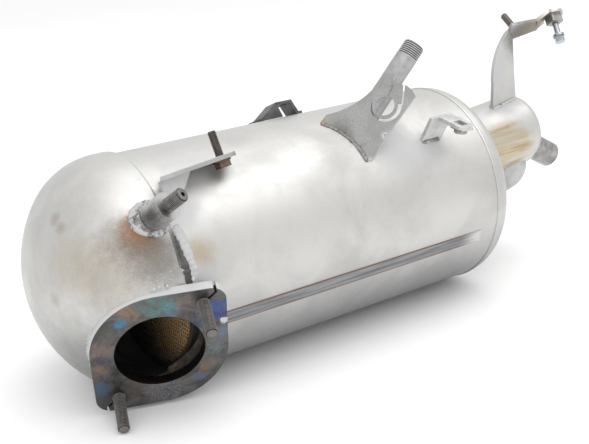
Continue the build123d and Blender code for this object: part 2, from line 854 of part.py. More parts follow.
# Hook bracket: a blade that stands on the drum, bent over into an arm with an eye
hook_thickness = 3
hook_from_cap = 31.4
hook_angle = 111.6
arm_height = 62.1
hook_foot = Vector(
    drum_radius * cos(radians(hook_angle)),
    drum_radius * sin(radians(hook_angle)),
    drum_length - hook_from_cap,
)
hook_plane = Plane(
    origin=drum_plane.from_local_coords(hook_foot),
    x_dir=(0.991, 0.134, 0),
    z_dir=(0.134, -0.991, 0),
)
arm_plane = Plane(
    origin=hook_plane.from_local_coords(Vector(25.9, arm_height, 0)),
    x_dir=(0.996, -0.065, 0.05),
    z_dir=(0.02, 0.78, 0.63),
)
ramp_plane = Plane(
    origin=arm_plane.from_local_coords(Vector(30, 0, 0)),
    x_dir=(0.89, -0.115, 0.442),
    z_dir=(-0.1875, 0.728, 0.567),
)
eye_plane = Plane(
    origin=arm_plane.from_local_coords(Vector(47.7, -4.9, 2.2)),
    x_dir=(0.982, -0.161, -0.098),
    z_dir=(0.2, 0.52, 0.83),
)
eye_radius = 9
screw_radius = 2.5
with BuildPart() as hook_bracket:
    with BuildSketch(hook_plane.offset(-hook_thickness)):
        with BuildLine():
            Line((32.9, -8), (-0.6, -8))
            Line((-0.6, -8), (1.6, 21.4))
            ThreePointArc((1.6, 21.4), (6.8, 45.5), (23.9, 63.5))
            ThreePointArc((23.9, 63.5), (27.8, 60.4), (29, 54.3))
            Line((29, 54.3), (30.2, 29.8))
            Line((30.2, 29.8), (32.9, -8))
        make_face()
    extrude(amount=hook_thickness)
    with BuildSketch(arm_plane):
        Polygon((-1, -7.5), (30, -6), (33, -6), (33, 6.5), (30, 6.5), (4, 11), (-1, 6), align=None)
    extrude(amount=hook_thickness)
    with BuildSketch(ramp_plane):
        Polygon((-1, -6.5), (17, -7), (17, 7), (-1, 6.5), align=None)
    extrude(amount=hook_thickness)
    with BuildSketch(eye_plane):
        Circle(eye_radius)
        with Locations((-5, 0)):
            Rectangle(5, 14)
    extrude(amount=hook_thickness)
    with BuildSketch(eye_plane.offset(-1)):
        Circle(screw_radius + 0.5)
    extrude(amount=8, mode=Mode.SUBTRACT)
    add(end_block, mode=Mode.SUBTRACT)
    with BuildSketch(eye_plane):
        Circle(eye_radius)
    extrude(amount=-4, mode=Mode.SUBTRACT)
hook_bracket.part.label = "hook_bracket"
export_step(hook_bracket.part, "parts/hook_bracket.step")

# Threaded stud on the arm's back
hook_stud_radius = 2.9
hook_stud_length = 19
hook_stud_plane = Plane(
    origin=arm_plane.from_local_coords(Vector(9, 2.5, hook_thickness)),
    x_dir=arm_plane.x_dir,
    z_dir=arm_plane.z_dir,
)
with BuildPart() as hook_stud:
    with BuildSketch(hook_stud_plane):
        Circle(hook_stud_radius)
    extrude(amount=hook_stud_length)
    chamfer(hook_stud.faces().sort_by(Axis((0, 0, 0), arm_plane.z_dir))[-1].edges(), 0.6)
hook_stud.part.label = "hook_stud"
export_step(hook_stud.part, "parts/hook_stud.step")

# Cage nut on the eye's underside and the screw that hangs in it
cage_side = 11
cage_height = 7
screw_reach = 18
screw_head_radius = 5
screw_head_height = 7
with BuildPart() as cage_nut:
    with BuildSketch(eye_plane):
        RectangleRounded(cage_side, cage_side, 1.2)
        Circle(screw_radius, mode=Mode.SUBTRACT)
    extrude(amount=-cage_height)
cage_nut.part.label = "cage_nut"
export_step(cage_nut.part, "parts/cage_nut.step")

with BuildPart() as eye_screw:
    with BuildSketch(eye_plane.offset(hook_thickness + 1)):
        Circle(screw_radius)
    extrude(amount=-screw_reach - hook_thickness - 1)
    with BuildSketch(eye_plane.offset(-screw_reach)):
        Circle(screw_head_radius)
    extrude(amount=-2)
    with BuildSketch(eye_plane.offset(-screw_reach - 2)):
        RegularPolygon(screw_head_radius - 0.6, 6)
    extrude(amount=2 - screw_head_height)
eye_screw.part.label = "eye_screw"
export_step(eye_screw.part, "parts/eye_screw.step")
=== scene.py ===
import json
from math import cos, exp, pi, radians, sin, sqrt

import bpy
from mathutils import Matrix, Vector, noise
from mathutils.bvhtree import BVHTree


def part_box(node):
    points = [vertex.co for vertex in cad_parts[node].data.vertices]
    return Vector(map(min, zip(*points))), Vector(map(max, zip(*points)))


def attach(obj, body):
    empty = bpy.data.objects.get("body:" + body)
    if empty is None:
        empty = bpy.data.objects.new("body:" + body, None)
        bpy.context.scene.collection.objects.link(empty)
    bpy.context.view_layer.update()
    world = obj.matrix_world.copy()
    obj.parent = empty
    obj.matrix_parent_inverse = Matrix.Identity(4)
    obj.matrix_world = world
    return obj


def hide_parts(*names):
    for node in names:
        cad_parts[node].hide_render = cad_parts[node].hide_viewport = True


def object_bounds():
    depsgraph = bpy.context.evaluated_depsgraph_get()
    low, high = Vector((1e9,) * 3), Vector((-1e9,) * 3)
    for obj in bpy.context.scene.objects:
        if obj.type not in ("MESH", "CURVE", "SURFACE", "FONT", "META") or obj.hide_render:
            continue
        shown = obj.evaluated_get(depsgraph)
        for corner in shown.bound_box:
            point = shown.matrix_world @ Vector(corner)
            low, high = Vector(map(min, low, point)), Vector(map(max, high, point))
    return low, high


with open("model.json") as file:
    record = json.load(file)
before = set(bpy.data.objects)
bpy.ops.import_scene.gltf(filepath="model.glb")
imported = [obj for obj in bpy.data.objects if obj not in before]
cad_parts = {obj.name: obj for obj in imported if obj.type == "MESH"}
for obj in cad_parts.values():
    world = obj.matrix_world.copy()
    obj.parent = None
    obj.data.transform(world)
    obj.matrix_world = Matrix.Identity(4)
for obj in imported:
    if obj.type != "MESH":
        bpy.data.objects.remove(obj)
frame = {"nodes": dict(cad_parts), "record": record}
size_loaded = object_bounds()

# Diesel particulate filter. The frame is in metres, the sizes below are millimetres.
MM = 0.001
X, Y, Z = Vector((1, 0, 0)), Vector((0, 1, 0)), Vector((0, 0, 1))
ORIGIN = Vector((0, 0, 0))
nodes = frame["nodes"]
mounts = {m["name"]: m for m in frame["record"]["mounts"]}

canister_y = 70
canister_z = 36.3
seam_x = 9.3
shell_radius = 81
skirt_length = 6.5
cutout_angle = -12


def mm(x, y, z):
    return Vector((x, y, z)) * MM


def rel(x, y, z):
    """A place counted from the canister's axis at the front seam."""
    return mm(seam_x + x, canister_y + y, canister_z + z)


def outward(angle):
    """Away from the canister's axis, the angle counted from the inlet's side upwards."""
    return Vector((0, -cos(radians(angle)), sin(radians(angle))))


def on_can(x, angle, height=0.0):
    """A place on the canister, or a height above it."""
    return rel(x, 0, 0) + outward(angle) * (shell_radius + height) * MM


# ---------------------------------------------------------------- shading helpers
class Finish:
    """One procedural material, built up from masks in the part's own coordinates."""

    def __init__(self, name):
        self.material = bpy.data.materials.new(name)
        self.material.use_nodes = True
        self.tree = self.material.node_tree
        self.shader = self.tree.nodes["Principled BSDF"]
        self.place = self.add("ShaderNodeTexCoord").outputs["Object"]

    def add(self, kind, **settings):
        node = self.tree.nodes.new(kind)
        for key, value in settings.items():
            setattr(node, key, value)
        return node

    def put(self, socket, value):
        if isinstance(value, bpy.types.NodeSocket):
            self.tree.links.new(value, socket)
        elif isinstance(value, tuple) and len(value) == 3 and socket.type == "RGBA":
            socket.default_value = (*value, 1)
        else:
            socket.default_value = value

    def math(self, operation, a, b=0.0):
        node = self.add("ShaderNodeMath", operation=operation)
        self.put(node.inputs[0], a)
        self.put(node.inputs[1], b)
        return node.outputs[0]

    def vector(self, operation, a, b=None):
        node = self.add("ShaderNodeVectorMath", operation=operation)
        self.put(node.inputs[0], a)
        if b is not None:
            node.inputs[1].default_value = b
        return node.outputs["Value" if operation in ("LENGTH", "DOT_PRODUCT") else "Vector"]

    def product(self, first, *others):
        """Masks multiplied together, so that only what lies in all of them is left."""
        for other in others:
            first = self.math("MULTIPLY", first, other)
        return first

    def most(self, first, *others):
        """The strongest of several masks."""
        for other in others:
            first = self.math("MAXIMUM", first, other)
        return first

    def inverse(self, mask):
        return self.math("SUBTRACT", 1.0, mask)

    def span(self, value, low, high, start=0.0, end=1.0):
        """Value turned from low..high into start..end, held at both ends."""
        node = self.add("ShaderNodeMapRange", interpolation_type="SMOOTHSTEP")
        for socket, v in zip(node.inputs, (value, low, high, start, end)):
            self.put(socket, v)
        return node.outputs[0]

    def grain(self, size, detail=5.0, rough=0.6, warp=0.0, stretch=(1, 1, 1)):
        """Noise whose features are about size millimetres across."""
        mapping = self.add("ShaderNodeMapping")
        self.put(mapping.inputs["Vector"], self.place)
        mapping.inputs["Scale"].default_value = stretch
        node = self.add("ShaderNodeTexNoise")
        self.put(node.inputs["Vector"], mapping.outputs[0])
        node.inputs["Scale"].default_value = 1 / (size * MM)
        node.inputs["Detail"].default_value = detail
        node.inputs["Roughness"].default_value = rough
        node.inputs["Distortion"].default_value = warp
        return node.outputs[0]

    def spot(self, centre, radius, edge=0.5, ragged=0.0, stretch=(1, 1, 1)):
        """A soft round patch about a place: 1 in the middle, 0 outside its radius in millimetres."""
        away = self.vector("SUBTRACT", self.place, centre)
        reach = self.vector("LENGTH", self.vector("MULTIPLY", away, stretch))
        if ragged:
            wave = self.math("SUBTRACT", self.grain(7, 4, 0.65), 0.5)
            reach = self.math("ADD", reach, self.product(wave, ragged * radius * MM))
        return self.span(reach, radius * MM, radius * MM * (1 - edge))

    def along(self, centre, direction):
        """Distance along a direction from a place, in metres."""
        return self.vector("DOT_PRODUCT", self.vector("SUBTRACT", self.place, centre), direction)

    def reach_from(self, centre, axis):
        """Distance from a line through a place, in metres."""
        away = self.vector("SUBTRACT", self.place, centre)
        return self.vector("LENGTH", self.vector("CROSS_PRODUCT", away, axis))

    def within(self, value, solid, clear):
        """A mask for distances: 1 up to solid, 0 from clear on, both in millimetres."""
        return self.span(value, clear * MM, solid * MM)

    def mix(self, fac, a, b):
        """Colour a, turned into b where the mask is 1."""
        node = self.add("ShaderNodeMix", data_type="RGBA")
        for index, value in ((0, fac), (6, a), (7, b)):
            self.put(node.inputs[index], value)
        return node.outputs[2]

    def blend(self, fac, a, b):
        """Number a, turned into b where the mask is 1."""
        node = self.add("ShaderNodeMix", data_type="FLOAT")
        for index, value in ((0, fac), (2, a), (3, b)):
            self.put(node.inputs[index], value)
        return node.outputs[0]

    def relief(self, *layers):
        """Bumps from pairs of height and depth in millimetres."""
        normal = None
        for height, depth in layers:
            node = self.add("ShaderNodeBump")
            self.put(node.inputs["Height"], height)
            node.inputs["Distance"].default_value = depth * MM
            if normal:
                self.put(node.inputs["Normal"], normal)
            normal = node.outputs[0]
        self.put(self.shader.inputs["Normal"], normal)

    def set(self, color, rough, metal):
        self.put(self.shader.inputs["Base Color"], color)
        self.put(self.shader.inputs["Roughness"], rough)
        self.put(self.shader.inputs["Metallic"], metal)


PAINT = (0.50, 0.50, 0.505)
PALE_STEEL = (0.61, 0.605, 0.59)
GREY_STEEL = (0.36, 0.355, 0.345)
DARK_STEEL = (0.13, 0.127, 0.12)
# Colour of the painted shade below the canister's axis.
UNDERSIDE_SHADE = (0.22, 0.22, 0.235)
RUST = (0.27, 0.16, 0.085)
STRAW = (0.44, 0.35, 0.22)
BROWN = (0.22, 0.165, 0.12)
SMUDGE = (0.36, 0.30, 0.25)
SMOKE = (0.045, 0.045, 0.048)
SOOT = (0.018, 0.015, 0.013)


def shade(color, share):
    return tuple(c * share for c in color)


def steel_sheet(name, patches=(), painted=(), base=PALE_STEEL, rough=0.5, sooty=False):
    """Satin sheet with faint clouds and fine brushing, and painted shade that darkens it below the
    canister's axis.

    Tinted patches are (place, radius, colour, strength), painted ones (place, radius, strength).
    """
    f = Finish(name)
    cloud = f.grain(45, 4, 0.6, 0.4)
    fine = f.grain(1.2, 4, 0.7)
    brushed = f.grain(2.5, 5, 0.7, stretch=(0.06, 1, 1))
    tone = f.mix(f.span(cloud, 0.35, 0.7), base, shade(base, 0.88))
    tone = f.mix(f.span(f.grain(9, 6, 0.75), 0.56, 0.75, 0, 0.35), tone, shade(base, 0.78))
    tone = f.mix(f.span(f.grain(3, 3, 0.6), 0.70, 0.78, 0, 0.5), tone, GREY_STEEL)
    # Painted shade: the sheet turns darker below the canister's axis.
    tone = f.mix(f.span(f.along(rel(0, 0, 0), Z), 0, -70 * MM, 0, 0.6), tone, UNDERSIDE_SHADE)
    clouded = f.span(cloud, 0.3, 0.7, rough - 0.05, rough + 0.08)
    gloss = f.math("ADD", clouded, f.span(fine, 0.3, 0.7, -0.04, 0.06))
    metal = 1.0
    for centre, radius, color, strength in patches:
        mask = f.product(f.spot(centre, radius, 0.9, 0.5), strength)
        speck = f.product(mask, f.span(f.grain(0.8, 6, 0.8), 0.34, 0.70, 0.0, 0.75))
        tone = f.mix(speck, tone, color)
        tone = f.mix(f.product(mask, 0.7), tone, color)
        gloss = f.blend(f.product(mask, 0.6), gloss, 0.5)
    for centre, radius, strength in painted:
        mask = f.product(f.spot(centre, radius, 0.7, 0.6), strength)
        tone = f.mix(mask, tone, PAINT)
        gloss = f.blend(mask, gloss, 0.55)
        metal = f.blend(mask, metal, 0.25)
    if sooty:
        mouth = f.within(f.reach_from(ORIGIN, inlet_axis), 38.5, 39.5)
        mouth = f.product(mouth, f.span(f.along(ORIGIN, inlet_axis), -110 * MM, -100 * MM))
        soot = f.mix(f.span(f.grain(5, 5, 0.7), 0.45, 0.7), SOOT, (0.07, 0.045, 0.03))
        tone = f.mix(mouth, tone, soot)
        gloss = f.blend(mouth, gloss, 0.7)
        metal = f.blend(mouth, metal, 0.2)
    f.set(tone, gloss, metal)
    f.relief((f.grain(60, 2, 0.5), 0.5), (brushed, 0.012), (fine, 0.03))
    return f.material


def weld_finish(name, white):
    """Rippled weld metal, grey and brown, with heat-resistant paint on a share of it."""
    f = Finish(name)
    rough_spots = f.grain(2.5, 6, 0.75)
    tone = f.mix(f.span(rough_spots, 0.35, 0.65), DARK_STEEL, GREY_STEEL)
    tone = f.mix(f.span(f.grain(5, 4, 0.6), 0.52, 0.68, 0, 0.6), tone, BROWN)
    mask = f.span(f.grain(6, 5, 0.7), 0.62 - 0.35 * white, 0.72 - 0.35 * white)
    tone = f.mix(mask, tone, PAINT)
    f.set(tone, f.blend(mask, 0.42, 0.6), f.blend(mask, 0.9, 0.2))
    f.relief((rough_spots, 0.5), (f.grain(0.8, 4, 0.7), 0.12))
    return f.material


def fastener_finish(name, rod_list, base=(0.08, 0.075, 0.07), tint=(0.15, 0.135, 0.12), bright=0.3):
    """Scaled fastener steel; on (foot, axis, radius, length, pitch) rods the thread roots get painted shade
    and the crests a painted highlight.
    """
    f = Finish(name)
    patch = f.grain(4, 5, 0.7)
    tone = f.mix(f.span(patch, 0.38, 0.64), base, tint)
    tone = f.mix(f.span(f.grain(1.1, 4, 0.7), 0.55, 0.72, 0, bright), tone, (0.4, 0.395, 0.38))
    for foot, axis, radius, length, pitch in rod_list:
        reach = f.reach_from(foot, axis)
        near = f.within(reach, radius + 0.5, radius + 1)
        crest_highlight = f.within(reach, radius - 0.05 * pitch, radius - 0.25 * pitch)
        root = f.within(reach, radius - 0.4 * pitch, radius - 0.1 * pitch)
        side = f.within(f.along(foot, axis), length - 0.4, length - 0.15)
        # Painted highlight on the thread crests, painted shade in the thread roots.
        tone = f.mix(f.product(near, crest_highlight, 0.4), tone, (0.32, 0.31, 0.30))
        tone = f.mix(f.product(near, f.inverse(side), 0.25), tone, (0.4, 0.38, 0.36))
        tone = f.mix(f.product(side, root, 0.85), tone, (0.02, 0.018, 0.016))
    f.set(tone, f.span(patch, 0.3, 0.7, 0.34, 0.55), 0.85)
    f.relief((f.grain(0.7, 4, 0.7), 0.03),)
    return f.material


def ceramic_finish(name, light, dark):
    """Plain ceramic with faint clouds."""
    f = Finish(name)
    tone = f.mix(f.span(f.grain(10, 4, 0.6), 0.3, 0.65), dark, light)
    f.set(tone, 0.85, 0.0)
    f.relief((f.grain(0.7, 4, 0.7), 0.05),)
    return f.material


def plain_finish(name, color, rough, metal, size=2.0, depth=0.05, spread=0.18):
    """A simple finish that still varies a little all over."""
    f = Finish(name)
    cloud = f.grain(size * 4, 5, 0.65)
    fine = f.grain(size / 2, 5, 0.75)
    tone = f.mix(f.span(cloud, 0.3, 0.7), shade(color, 1 - spread), shade(color, 1 + spread))
    tone = f.mix(f.span(fine, 0.52, 0.76, 0, 0.35), tone, shade(color, 0.6))
    f.set(tone, f.span(fine, 0.25, 0.75, rough - 0.06, rough + 0.1), metal)
    f.relief((fine, depth),)
    return f.material


# ---------------------------------------------------------------- geometry helpers
def piece(name, points, faces, smooth=True):
    mesh = bpy.data.meshes.new(name)
    mesh.from_pydata([tuple(p) for p in points], [], faces)
    mesh.validate()
    if smooth:
        mesh.shade_smooth()
    made = bpy.data.objects.new(name, mesh)
    bpy.context.scene.collection.objects.link(made)
    return made


def dress(thing, material, stands_for=None):
    """Gives a scene piece its material and ties it to the part."""
    thing.data.materials.append(material)
    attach(thing, "root")
    if stands_for:
        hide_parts(stands_for)


def joined(*things):
    """Several pieces made into one."""
    bpy.ops.object.select_all(action="DESELECT")
    for thing in things:
        thing.select_set(True)
    bpy.context.view_layer.objects.active = things[0]
    bpy.ops.object.join()
    return things[0]


def side_vectors(axis):
    axis = Vector(axis).normalized()
    first = axis.orthogonal().normalized()
    return axis, first, axis.cross(first)


def round_point(foot, sides, z, radius, turn):
    """The point at a part of a turn round an axis, z millimetres up it."""
    axis, first, second = sides
    a = 2 * pi * turn
    return foot + (axis * z + (first * cos(a) + second * sin(a)) * radius) * MM


def band(low, high, count):
    """Faces between two rings of points, given by the number of each ring's first point."""
    return [(low + j, low + (j + 1) % count, high + (j + 1) % count, high + j) for j in range(count)]


def threaded_rod(name, foot, axis, radius, length, pitch, plain=0, plain_radius=None, bore=0, bore_depth=8):
    """A rod with a cut thread and a chamfered tip; plain is the unthreaded stretch at its foot."""
    sides = side_vectors(axis)
    turns = 28
    steps_per_pitch = 8
    thread_depth, chamfer = 0.65 * pitch, 0.8 * pitch
    steps = int(length / pitch * steps_per_pitch)
    points, faces = [], []
    for i in range(steps + 1):
        z = length * i / steps
        for j in range(turns):
            phase = (z / pitch - j / turns) % 1
            cut = thread_depth * max(0, 1 - 1.5 * abs(2 * phase - 1))
            r = min(radius - cut, radius - chamfer + (length - z))
            if z <= plain:
                r = plain_radius or radius
            points.append(round_point(foot, sides, z, r, j / turns))
    for i in range(steps):
        faces += band(i * turns, (i + 1) * turns, turns)
    last = steps * turns
    for z in (length, length - bore_depth) if bore else ():
        points += [round_point(foot, sides, z, bore, j / turns) for j in range(turns)]
        faces += band(last, last + turns, turns)
        last += turns
    faces.append(tuple(last + j for j in range(turns)))
    faces.append(tuple(reversed(range(turns))))
    made = piece(name, points, faces)
    made.data.set_sharp_from_angle(angle=radians(35))
    return made


def prism(name, foot, axis, radius, length, count):
    """A plain bar with flat ends."""
    sides = side_vectors(axis)
    points = [round_point(foot, sides, z, radius, j / count) for z in (0, length) for j in range(count)]
    faces = band(0, count, count) + [tuple(reversed(range(count))), tuple(range(count, 2 * count))]
    made = piece(name, points, faces)
    made.data.set_sharp_from_angle(angle=radians(30))
    return made


body_points, body_faces = [], []
for key in ("inlet_cap", "shell", "end_cap", "outlet_drum", "drum_cap"):
    start = len(body_points)
    body_points += [v.co.copy() for v in nodes[key].data.vertices]
    body_faces += [tuple(start + i for i in p.vertices) for p in nodes[key].data.polygons]
surface = BVHTree.FromPolygons(body_points, body_faces)


def seat(start, direction):
    """Where a ray meets the canister or the drum, with the surface's direction there, or two Nones."""
    return surface.ray_cast(start, Vector(direction).normalized())[:2]


BEAD_STEP = 0.6


def bead(name, path, width, height, ripple, uneven, closed=False):
    """A weld bead laid along (place, surface direction) pairs, with ripples and uneven edges."""
    section = 8
    tucked = 0.25  # how far the section's ends turn below the surface, in radians
    ends = (0.3, 0.35)  # the size that an open bead starts from, and its growth at each place
    count = len(path)
    points, faces = [], []
    travelled = 0.0
    for i, (place, up) in enumerate(path):
        before = path[i - 1][0] if i or closed else place
        after = path[(i + 1) % count][0] if i < count - 1 or closed else place
        run = (after - before).normalized()
        travelled += (place - before).length / MM
        side = run.cross(up).normalized()
        wave = 0.5 + 0.5 * cos(2 * pi * travelled / ripple)
        w = width * (1 + 0.12 * wave + uneven * noise.noise(place * 260)) / 2
        h = height * (0.8 + 0.25 * wave + uneven * noise.noise(place * 420))
        if not closed:
            taper = min(1, ends[0] + i * ends[1], ends[0] + (count - 1 - i) * ends[1])
            w, h = w * taper, h * taper
        for k in range(section):
            a = -tucked + (pi + 2 * tucked) * k / (section - 1)
            points.append(place + (side * cos(a) * w + up * sin(a) * h) * MM)
    for i in range(count if closed else count - 1):
        low, high = i * section, (i + 1) % count * section
        faces += [(low + k, low + k + 1, high + k + 1, high + k) for k in range(section - 1)]
    if not closed:
        faces.append(tuple(range(section)))
        faces.append(tuple(reversed(range((count - 1) * section, count * section))))
    return piece(name, points, faces)


def ring_path(centre, axis, radius, lift):
    """Places round an axis, each dropped along the axis onto the surface."""
    axis, first, second = side_vectors(axis)
    count = int(2 * pi * radius / BEAD_STEP)
    path = []
    for i in range(count):
        a = 2 * pi * i / count
        spoke = first * cos(a) + second * sin(a)
        hit, normal = seat(centre + (spoke * radius + axis * lift) * MM, -axis)
        if hit:
            path.append((hit, (normal + spoke * 0.4).normalized()))
    return path


def line_path(start, end, direction, lean):
    """Places between two points, each dropped along a direction onto the surface."""
    count = max(2, int((end - start).length / MM / BEAD_STEP))
    path = []
    for i in range(count + 1):
        hit, normal = seat(start.lerp(end, i / count), direction)
        if hit:
            path.append((hit, (normal + Vector(lean)).normalized()))
    return path


def cap_path(count, start, end, along, over=lambda angle: 0):
    """Places on the cap from one angle to another, along(angle) behind its skirt, over(angle) above it."""
    path = []
    for i in range(count):
        angle = start + (end - start) * i / (count - 1)
        place = seat(on_can(skirt_length + along(angle), angle, 20), -outward(angle))[0]
        path.append((place + outward(angle) * over(angle) * MM, outward(angle)))
    return path


def drops(name, spots):
    """Small round spatter, each as (place, radius)."""
    points, faces = [], []
    rows, turns = 4, 8
    for centre, radius in spots:
        base = len(points)
        for i in range(rows + 1):
            level, reach = cos(pi * i / rows) * radius, sin(pi * i / rows) * radius
            points += [round_point(centre, (Z, X, Y), level, reach, j / turns) for j in range(turns)]
        for i in range(rows):
            faces += band(base + (i + 1) * turns, base + i * turns, turns)
    return piece(name, points, faces)


# ---------------------------------------------------------------- places on the part
inlet_axis = Vector(mounts["inlet_port"]["axis"]).normalized()
inlet_level = Z.cross(inlet_axis).normalized()
inlet_rise = inlet_axis.cross(inlet_level)
mouth_radius = mounts["inlet_port"]["dims"]["r_mm"]
flange_thickness = mounts["inlet_port"]["dims"]["length_mm"]


def on_flange(x, y, depth=0.0):
    """A place on the flange's face: x level to the right, y up, depth behind the face."""
    return (inlet_level * x + inlet_rise * y - inlet_axis * depth) * MM


boss_axis = Vector(mounts["pressure_nipple"]["axis"]).normalized()
nipple_middle = Vector(mounts["pressure_nipple"]["pos_m"])
nipple_length = 15
nipple_radius = mounts["pressure_nipple"]["dims"]["r_mm"]
boss_top = nipple_middle - boss_axis * nipple_length / 2 * MM
boss_spot = seat(boss_top, -boss_axis)[0]

horn_foot_left = rel(164.2, -22.9, 77.7)
horn_across = Vector((0.2537, -0.8145, -0.5224)).normalized()
horn_normal = Vector((-0.678, -0.535, 0.505)).normalized()
horn_up = horn_normal.cross(horn_across)
horn_thickness = 2.5


def on_horn(x, y, height=0.0):
    """A place on the horn plate's front: x along its foot, y up, height in front of it."""
    return horn_foot_left + (horn_across * x + horn_up * y + horn_normal * height) * MM


tube_mount = mounts["sensor_port"]
tube_axis = Vector(tube_mount["axis"]).normalized()
tube_radius = 8.2
tube_bore = tube_mount["dims"]["r_mm"]
tube_bore_depth = tube_mount["dims"]["length_mm"]
tube_end = Vector(tube_mount["pos_m"]) + tube_axis * tube_bore_depth / 2 * MM
tube_thread = 11
strip_foot = on_can(16, 44, 4)
tab_foot = on_can(230.4, 43.5)
hook_mount = mounts["hook_stud"]
hook_axis = Vector(hook_mount["axis"]).normalized()
hook_length = hook_mount["dims"]["length_mm"]
hook_start = Vector(hook_mount["pos_m"]) - hook_axis * hook_length / 2 * MM
brick_low, brick_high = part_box("catalyst_brick")
# Centre of the pool of light painted on the first brick's face.
comb_light_pool_centre = Vector((brick_low[0], 0.018, 0.022))


# ---------------------------------------------------------------- finishes of single pieces
def drum_streaks():
    """Drum sheet with straw-coloured streaks along its side."""
    f = Finish("drum_streaked")
    cloud = f.grain(30, 4, 0.6)
    streak = f.grain(7, 4, 0.6, stretch=(0.07, 1, 1))
    tone = f.mix(f.span(cloud, 0.35, 0.7), PALE_STEEL, (0.58, 0.575, 0.56))
    side = f.spot(rel(345, -34, 22), 31, 0.5, 0.3, (0.8, 1, 1))
    mask = f.product(side, f.span(streak, 0.18, 0.60))
    tone = f.mix(f.product(mask, 0.9), tone, (0.51, 0.42, 0.26))
    tone = f.mix(f.product(mask, f.span(streak, 0.52, 0.62, 0, 0.4)), tone, RUST)
    paint = f.most(f.spot(rel(358, -14, 50), 17, 0.7, 0.6), f.spot(rel(346, -27, -10), 24, 0.7, 0.6))
    tone = f.mix(paint, tone, PAINT)
    gloss = f.blend(paint, f.span(cloud, 0.3, 0.7, 0.44, 0.52), 0.55)
    f.set(tone, gloss, f.blend(paint, 1.0, 0.25))
    f.relief((f.grain(40, 2, 0.5), 0.4), (f.grain(1.2, 4, 0.7), 0.02))
    return f.material


# Tempering on the flange's face: x, y, radius, colour, strength.
flange_tints = (
    (2, 41, 14, (0.13, 0.24, 0.22), 0.8),
    (9, 35, 8, (0.13, 0.26, 0.34), 0.75),
    (19, 40, 9, (0.20, 0.16, 0.14), 0.8),
    (-17, 37, 8, (0.30, 0.19, 0.12), 0.8),
    (-24, 30, 6, (0.07, 0.22, 0.36), 0.95),
    (-10, 41, 7, (0.12, 0.17, 0.17), 0.6),
    (-32, 21, 8, (0.13, 0.13, 0.11), 0.7),
    (-37, 9, 9, (0.24, 0.17, 0.15), 0.8),
    (-37, 0, 6, (0.05, 0.05, 0.09), 0.8),
    (-40, -7, 8, (0.24, 0.16, 0.11), 0.8),
    (-41, -25, 8, (0.06, 0.13, 0.24), 0.9),
    (-31, -16, 9, SMOKE, 0.9),
    (-30, -30, 10, SMOKE, 0.9),
    (-19, -31, 9, (0.12, 0.09, 0.08), 0.7),
    (29, 40, 8, (0.045, 0.042, 0.04), 0.8),
    (27, 20, 8, (0.035, 0.05, 0.11), 0.9),
    (40, 31, 8, (0.03, 0.10, 0.34), 1.0),
    (41, 23, 7, (0.04, 0.06, 0.22), 0.9),
    (42, 8, 8, (0.16, 0.20, 0.28), 0.8),
    (35, -5, 9, (0.16, 0.21, 0.21), 0.75),
    (31, -17, 8, (0.22, 0.18, 0.15), 0.75),
    (27, -23, 5, (0.28, 0.16, 0.09), 0.8),
    (24, -29, 6, (0.12, 0.16, 0.26), 0.8),
    (4, -38, 12, (0.10, 0.10, 0.115), 0.6),
)
# The bent slit by each stud, in two strokes: x, y, the direction across it, half its length.
slit_strokes = ((38.35, 47.5, 0.99, 0.137, 6.2), (35.6, 40.5, -0.678, 0.735, 6.0))


def flange_finish():
    """Sealing face tempered brown, teal and blue; the edge behind it is sprayed white."""
    f = Finish("flange_steel")
    depth = f.product(f.along(ORIGIN, inlet_axis), -1)
    cloud = f.grain(14, 5, 0.65, 0.8)
    fine = f.grain(1.5, 5, 0.7)
    tone = f.mix(f.span(cloud, 0.35, 0.65), (0.075, 0.073, 0.072), (0.15, 0.145, 0.14))
    broken = f.span(f.grain(6, 6, 0.75, 1.0), 0.36, 0.62, 0.35, 1.0)
    for x, y, radius, color, strength in flange_tints:
        mask = f.product(f.spot(on_flange(x, y), radius, 0.65, 2.4), broken, strength)
        tone = f.mix(mask, tone, color)
    grit = f.grain(0.8, 5, 0.8)
    tone = f.mix(f.span(grit, 0.5, 0.72, 0, 0.35), tone, (0.25, 0.245, 0.24))
    tone = f.mix(f.span(grit, 0.46, 0.30, 0, 0.5), tone, (0.03, 0.03, 0.03))
    salt = f.product(f.spot(on_flange(2, -38), 24, 0.8, 1.0), f.span(f.grain(0.7, 4, 0.8), 0.52, 0.6))
    tone = f.mix(f.product(salt, 0.7), tone, (0.42, 0.42, 0.44))
    inner = f.within(f.reach_from(ORIGIN, inlet_axis), mouth_radius + 0.3, mouth_radius + 0.7)
    bore = f.mix(f.span(f.grain(2, 5, 0.8), 0.6, 0.75), (0.016, 0.014, 0.013), (0.16, 0.14, 0.12))
    tone = f.mix(f.product(inner, f.span(depth, 0.4 * MM, 0.8 * MM)), tone, bore)
    paint = f.product(f.span(depth, 0.4 * MM, 0.9 * MM), f.inverse(inner))
    for x, y, radius, edge, ragged in ((43, 19, 3.6, 0.3, 3.0), (47, -38, 4, 0.5, 2.0)):
        paint = f.most(paint, f.spot(on_flange(x, y), radius, edge, ragged))
    paint = f.product(paint, f.span(f.grain(4, 5, 0.7), 0.24, 0.34))
    tone = f.mix(paint, tone, (0.52, 0.525, 0.53))
    # Painted shade: the walls of each bent slit are painted near black.
    for side in (1, -1):
        for x, y, across_x, across_y, reach in slit_strokes:
            middle = on_flange(side * x, side * y, 4)
            away = f.along(middle, inlet_level * across_x + inlet_rise * across_y)
            cut = f.within(f.math("ABSOLUTE", away), 0.9, 1.05)
            cut = f.product(cut, f.spot(middle, reach, 0.05), f.span(depth, 0.3 * MM, 0.5 * MM))
            tone = f.mix(cut, tone, (0.01, 0.01, 0.01))
    f.set(tone, f.blend(paint, f.span(cloud, 0.3, 0.7, 0.34, 0.5), 0.6), f.blend(paint, 0.85, 0.1))
    f.relief((fine, 0.05), (f.grain(0.5, 3, 0.7), 0.03))
    return f.material


